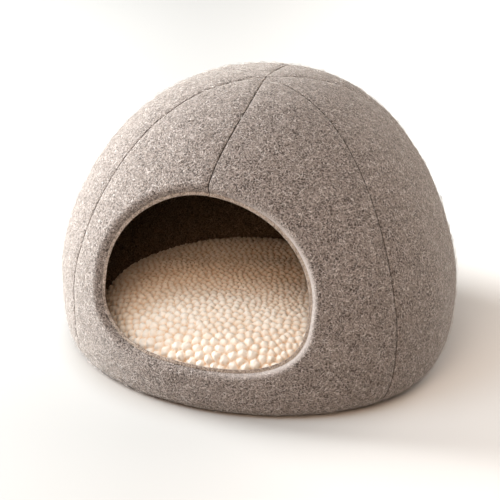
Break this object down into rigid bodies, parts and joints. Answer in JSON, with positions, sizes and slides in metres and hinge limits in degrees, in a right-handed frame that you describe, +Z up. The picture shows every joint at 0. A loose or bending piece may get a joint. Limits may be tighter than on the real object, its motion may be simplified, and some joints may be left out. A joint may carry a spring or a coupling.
{
  "type": "felt cat cave",
  "caption": "Egg-shaped cat cave of thick grey felt panels with an arched entrance and a loose crowned fleece cushion inside.",
  "frame": {"origin": "on the floor, under the middle of the overall box", "axes": "+Z up, the entrance faces -Y, +X to the right as the entrance is looked at from the front"},
  "size_m": [0.4499, 0.4074, 0.308],
  "materials": {
    "felt": "matte melange grey-brown wool felt",
    "fleece": "matte cream curly pile"
  },
  "bodies": {
    "root": {"front_panel": "felt", "right_gore": "felt", "back_right_gore": "felt", "back_left_gore": "felt", "left_gore": "felt", "floor_panel": "felt", "cushion": "fleece"}
  },
  "joints": []
}
